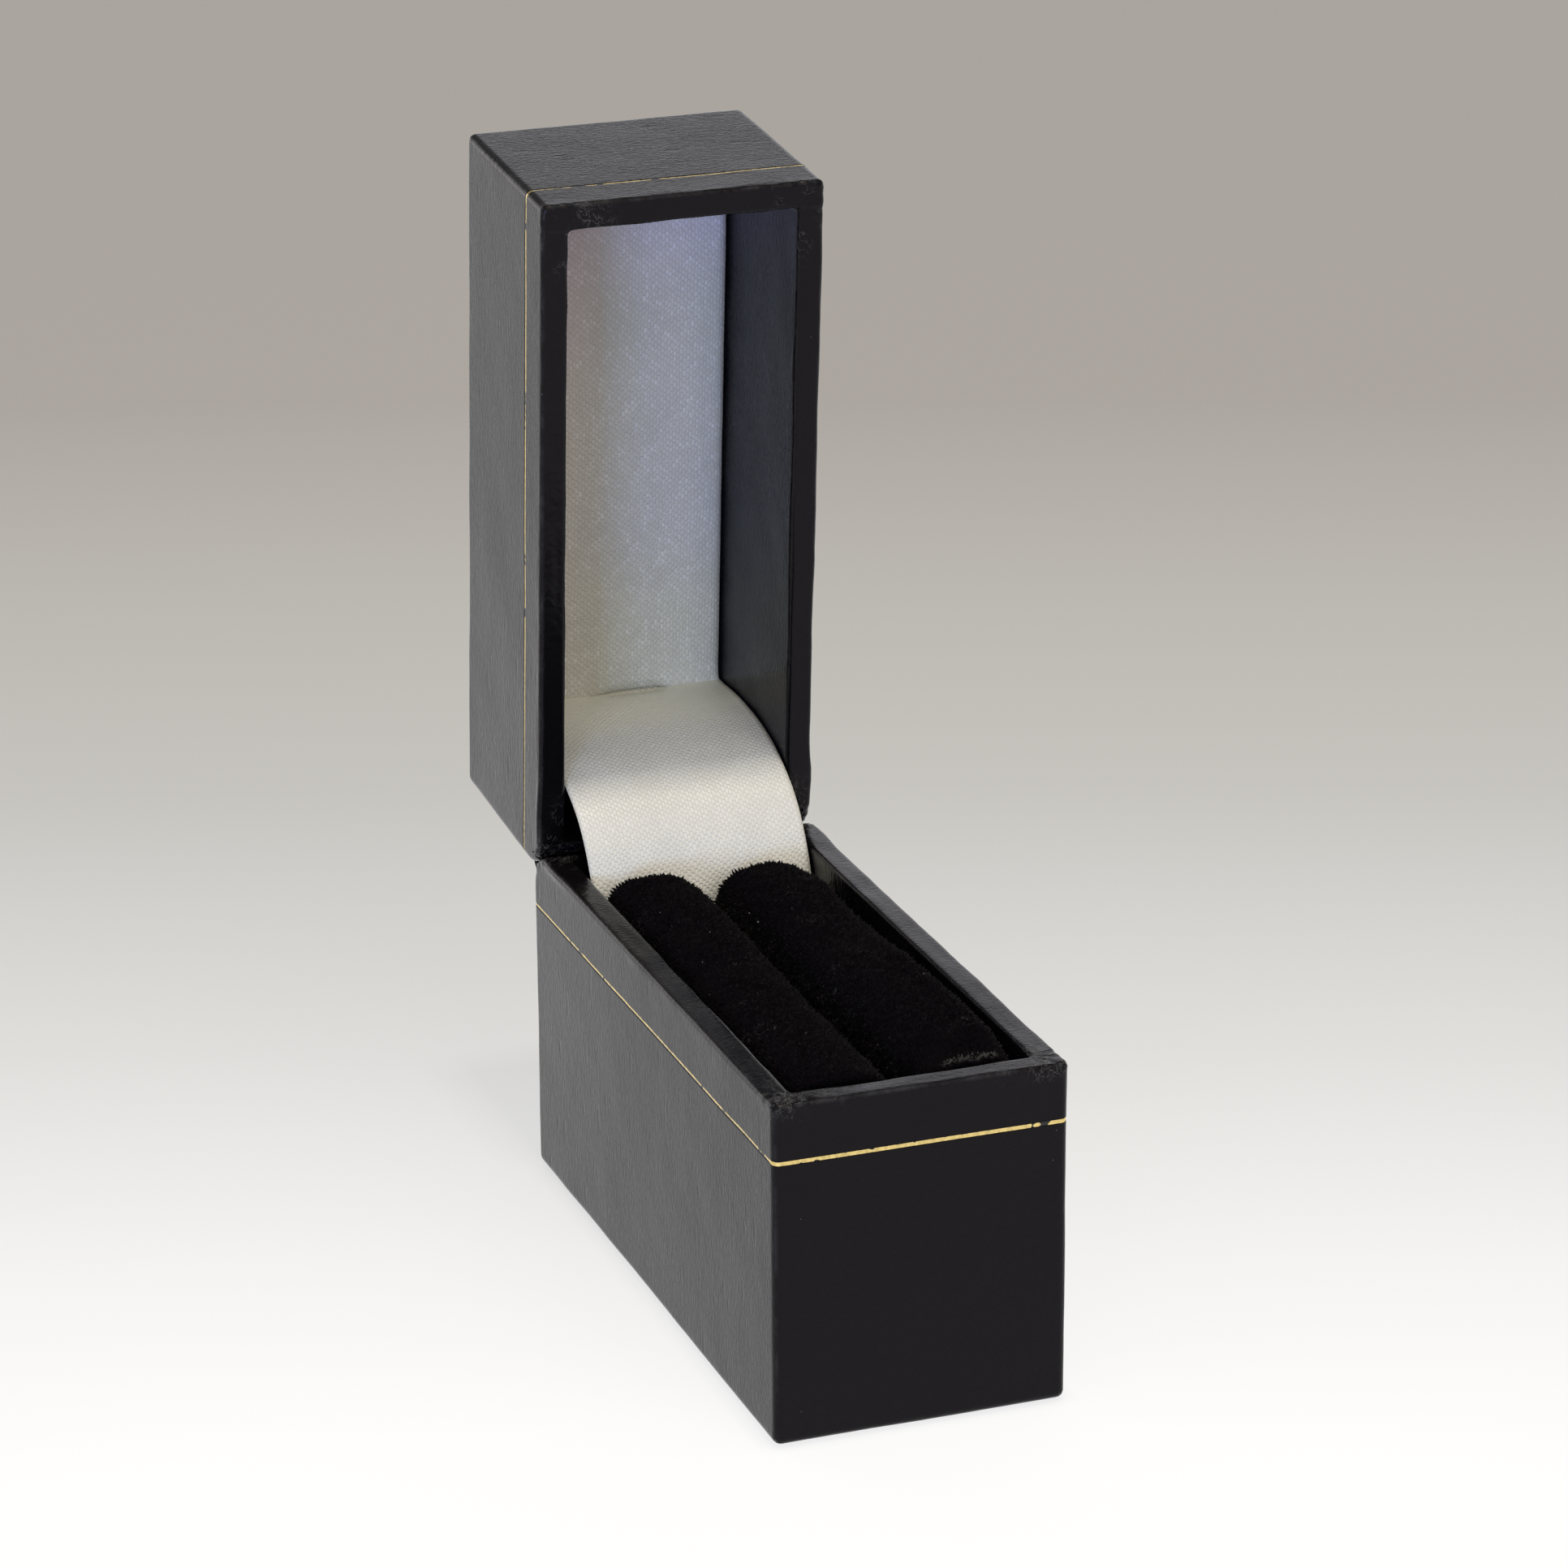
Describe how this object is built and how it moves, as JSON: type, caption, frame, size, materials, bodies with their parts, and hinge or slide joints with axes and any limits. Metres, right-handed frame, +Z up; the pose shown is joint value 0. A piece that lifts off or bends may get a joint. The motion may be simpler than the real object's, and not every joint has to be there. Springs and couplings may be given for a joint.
{
  "type": "ring display box",
  "caption": "Slim hinged ring box, leatherette over board, with a gold line, two velvet ring rolls, a satin-lined lid and a satin strap over the hinge.",
  "frame": {"origin": "centre of the base's underside, where the box stands", "axes": "+Z up, +X to the right of a person who faces the open box, front towards -Y, hinge at +Y"},
  "size_m": [0.03, 0.0958, 0.1082],
  "materials": {
    "board": "matt grey-brown board",
    "leatherette": "black fine-grained leatherette, satin sheen, worn along the edges",
    "gold": "gold foil pressed into the leatherette, broken in places",
    "card": "matt card",
    "foam": "open foam",
    "velvet": "black pile velvet",
    "wadding": "thin wadding",
    "satin": "cream satin with a fine diagonal weave",
    "steel": "plain pressed steel",
    "spring_steel": "blued spring steel",
    "tack_brass": "brassed tacks"
  },
  "bodies": {
    "base": {"base_bottom_board": "board", "base_front_board": "board", "base_back_board": "board", "base_left_board": "board", "base_right_board": "board", "base_cover": "leatherette", "base_bottom_paper": "leatherette", "base_gilt_line": "gold", "pad_riser": "card", "pad_tray": "card", "foam_core_left": "foam", "foam_core_right": "foam", "velvet_roll_left": "velvet", "velvet_roll_right": "velvet", "hinge_base_leaf": "steel", "hinge_pin": "steel", "hinge_spring": "spring_steel", "hinge_base_tacks": "tack_brass", "satin_strap": "satin", "hinge_strip": "leatherette"},
    "lid": {"lid_top_board": "board", "lid_front_board": "board", "lid_back_board": "board", "lid_left_board": "board", "lid_right_board": "board", "lid_cover": "leatherette", "lid_gilt_line": "gold", "lining_card": "card", "lining_wadding": "wadding", "satin_lining": "satin", "hinge_lid_leaf": "steel", "hinge_lid_tacks": "tack_brass"}
  },
  "joints": [
    {"name": "lid_hinge", "type": "hinge", "parent": "base", "child": "lid", "pos_m": [0, 0.03423, 0.03578], "axis": [1, 0, 0], "range_deg": [0, 85.6], "deforming": ["satin_strap", "hinge_strip"]}
  ]
}
